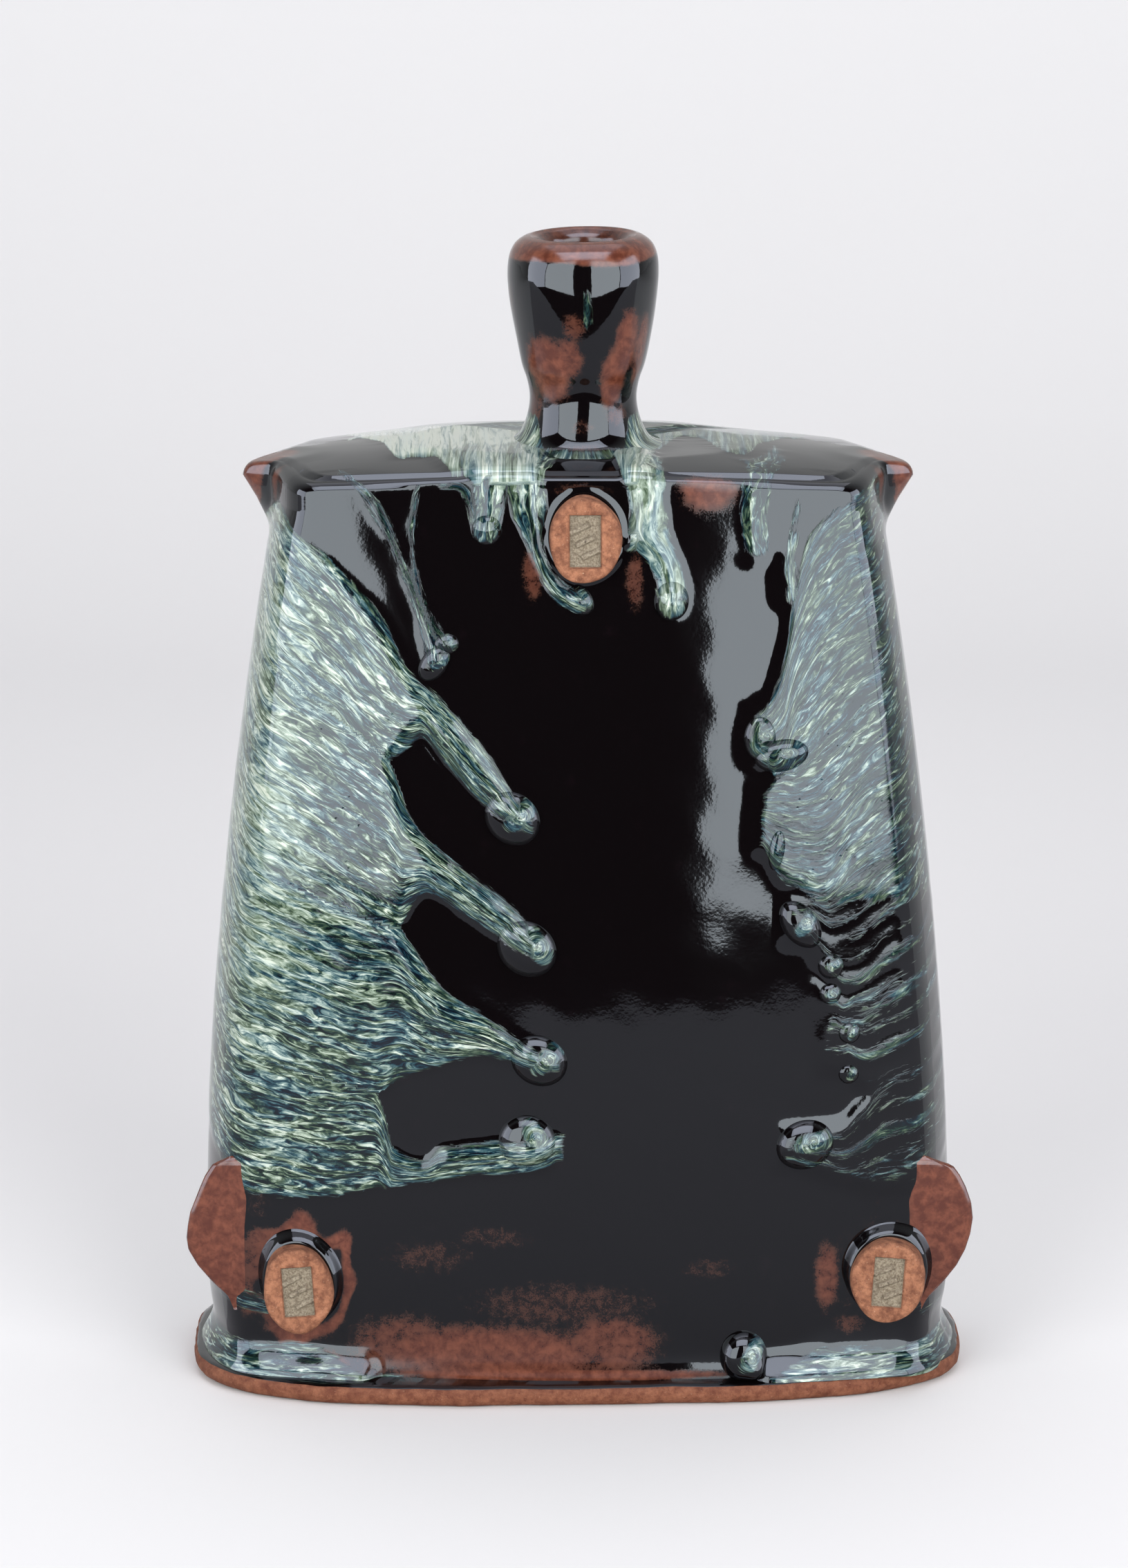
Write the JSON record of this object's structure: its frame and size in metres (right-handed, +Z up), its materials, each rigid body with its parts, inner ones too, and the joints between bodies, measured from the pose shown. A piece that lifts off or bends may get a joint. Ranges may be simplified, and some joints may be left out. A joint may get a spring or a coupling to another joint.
{
  "type": "sake bottle",
  "caption": "Slab-built glazed stoneware bottle with a tapering rectangular body, a thrown neck and an open mouth, standing on a wider foot slab.",
  "frame": {"origin": "centre of the foot slab's underside, where the bottle stands", "axes": "+Z up to the mouth, +X along the bottle's width, the front with the stamped pads faces -Y"},
  "size_m": [0.1904, 0.0864, 0.28],
  "materials": {
    "bare_clay": "matte",
    "stamped_clay": "matte",
    "glaze": "glossy",
    "neck_glaze": "glossy",
    "rust_glaze": "glossy",
    "run_glaze": "glossy"
  },
  "bodies": {
    "root": {"foot_slab": "bare_clay", "front_slab": "glaze", "back_slab": "glaze", "left_side_slab": "glaze", "right_side_slab": "glaze", "shoulder_slab": "glaze", "neck": "neck_glaze", "left_lug": "rust_glaze", "right_lug": "rust_glaze", "left_fin": "rust_glaze", "right_fin": "rust_glaze", "upper_pad": "stamped_clay", "lower_left_pad": "stamped_clay", "lower_right_pad": "stamped_clay", "glaze_beads": "run_glaze"}
  },
  "joints": []
}
